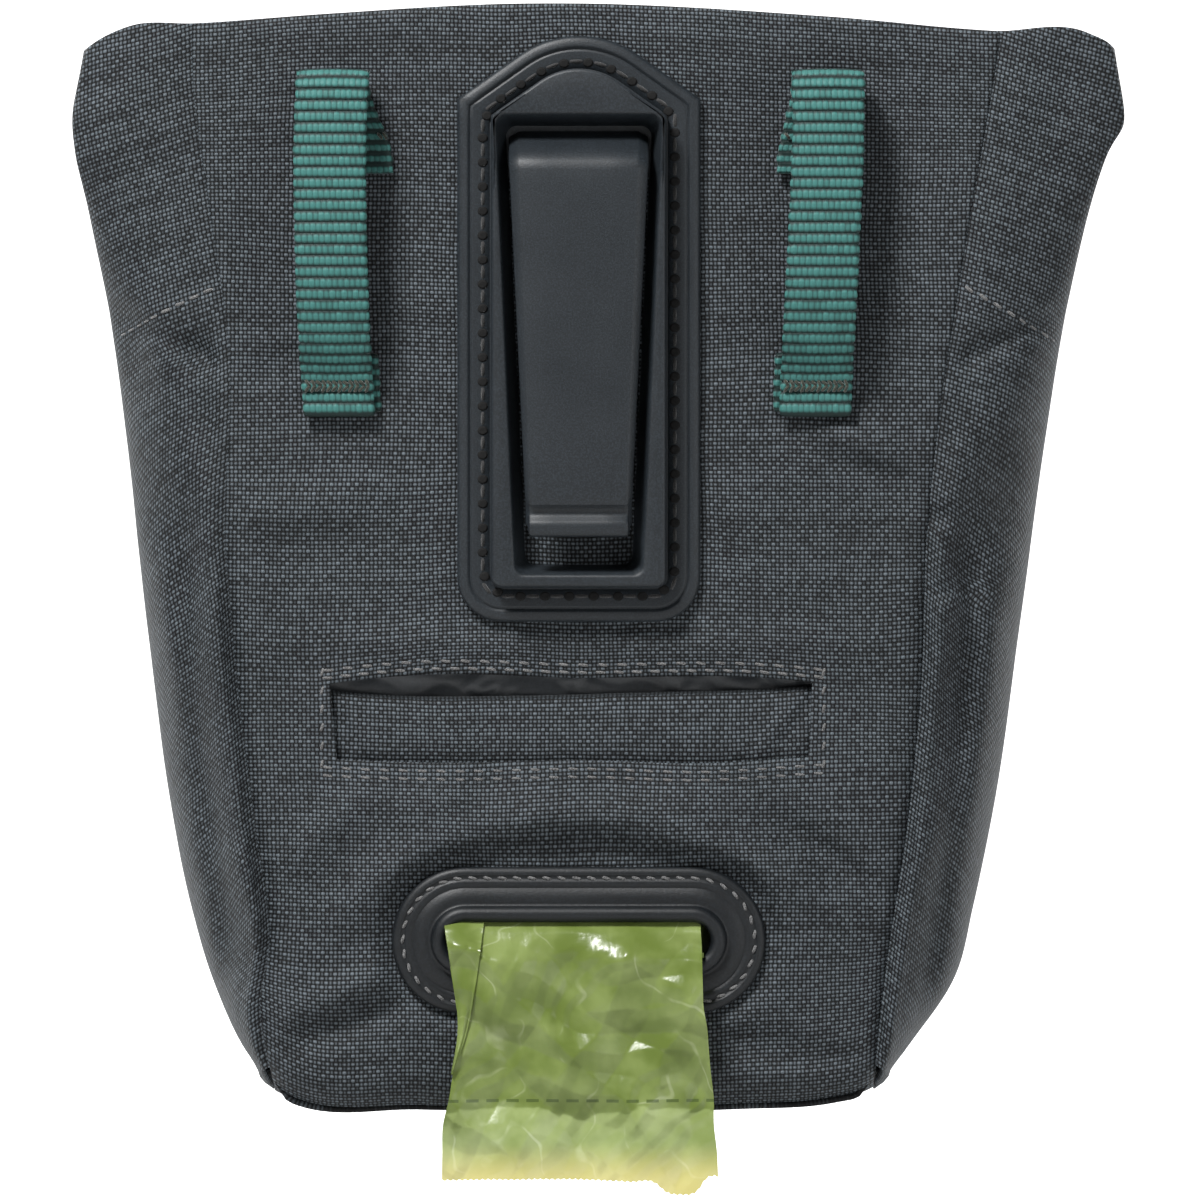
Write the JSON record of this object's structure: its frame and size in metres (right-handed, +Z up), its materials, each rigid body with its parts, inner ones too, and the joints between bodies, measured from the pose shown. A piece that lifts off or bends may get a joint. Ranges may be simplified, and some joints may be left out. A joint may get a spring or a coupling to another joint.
{
  "type": "treat pouch",
  "caption": "Tapered fabric pouch worn on a belt, with a spring belt clip, webbing belt loops, a magnetic mouth, a zipped front pocket, a drop pocket and a pickup-bag dispenser.",
  "frame": {"origin": "roof of the belt channel behind the belt clip's tongue, on the clip's centre line, half way between the tongue and the raised frame behind it", "axes": "+Z up to the rim of the worn pouch, +Y away from the wearer, +X to the right of someone who looks at the clip side"},
  "size_m": [0.1686, 0.0729, 0.191],
  "materials": {
    "shell_fabric": "plain-weave synthetic cloth",
    "lining": "smooth coated cloth",
    "webbing": "ribbed webbing",
    "zip_tape": "woven tape",
    "clip_plastic": "satin moulded plastic",
    "zip_plastic": "satin",
    "grommet_rubber": "satin rubber",
    "film": "thin translucent film",
    "core_card": "card tube",
    "board": "sheet plastic, sewn in",
    "magnet": "plated",
    "slider_metal": "dark plated"
  },
  "bodies": {
    "pouch_back": {"back_panel": "shell_fabric", "bottom_panel": "shell_fabric", "base_board": "board", "left_gusset": "shell_fabric", "right_gusset": "shell_fabric", "left_gusset_facing": "lining", "right_gusset_facing": "lining", "left_gusset_liner": "lining", "right_gusset_liner": "lining", "back_facing": "lining", "back_liner": "lining", "bottom_liner": "lining", "back_magnets": "magnet", "back_stiffener": "board", "clip_base": "clip_plastic", "left_belt_loop": "webbing", "right_belt_loop": "webbing", "dispenser_grommet": "grommet_rubber", "roll_pocket": "lining", "slit_welt": "shell_fabric", "bag_web": "film"},
    "tongue": {"clip_tongue": "clip_plastic"},
    "front": {"front_panel": "shell_fabric", "front_facing": "lining", "front_liner": "lining", "front_magnets": "magnet", "drop_pocket": "shell_fabric", "drop_pocket_elastic": "webbing", "zip_pocket_bag": "lining", "zip_tape_upper": "zip_tape", "zip_tape_lower": "zip_tape", "zip_coil": "zip_plastic", "zip_stops": "slider_metal"},
    "roll": {"bag_roll": "film", "roll_core": "core_card"},
    "strip": {"bag_strip": "film"},
    "slider": {"zip_slider": "slider_metal"},
    "pull": {"zip_pull": "slider_metal", "pull_tab": "webbing"}
  },
  "joints": [
    {"name": "clip_flex", "type": "hinge", "parent": "pouch_back", "child": "tongue", "pos_m": [0, -0.0023, 0.006], "axis": [-1, 0, 0], "range_deg": [0, 9], "stiffness_Nm_per_rad": 2},
    {"name": "mouth", "type": "hinge", "parent": "pouch_back", "child": "front", "pos_m": [0, 0.0575, -0.1487], "axis": [-1, 0, 0], "range_deg": [0, 12.5]},
    {"name": "roll_spin", "type": "hinge", "parent": "pouch_back", "child": "roll", "pos_m": [0, 0.0244, -0.1285], "axis": [1, 0, 0], "range_deg": [0, 230]},
    {"name": "bag_pull", "type": "slide", "parent": "pouch_back", "child": "strip", "axis": [0, 0, -1], "range_m": [0, 0.06]},
    {"name": "zip_run", "type": "slide", "parent": "front", "child": "slider", "axis": [1, 0, 0], "range_m": [0, 0.08]},
    {"name": "pull_swing", "type": "hinge", "parent": "slider", "child": "pull", "pos_m": [-0.0408, 0.02524, -0.01284], "axis": [1, 0, 0], "range_deg": [0, 150]}
  ],
  "couplings": [
    {"joint": "bag_pull", "follows": "roll_spin", "m_per_rad": 0.0145}
  ]
}
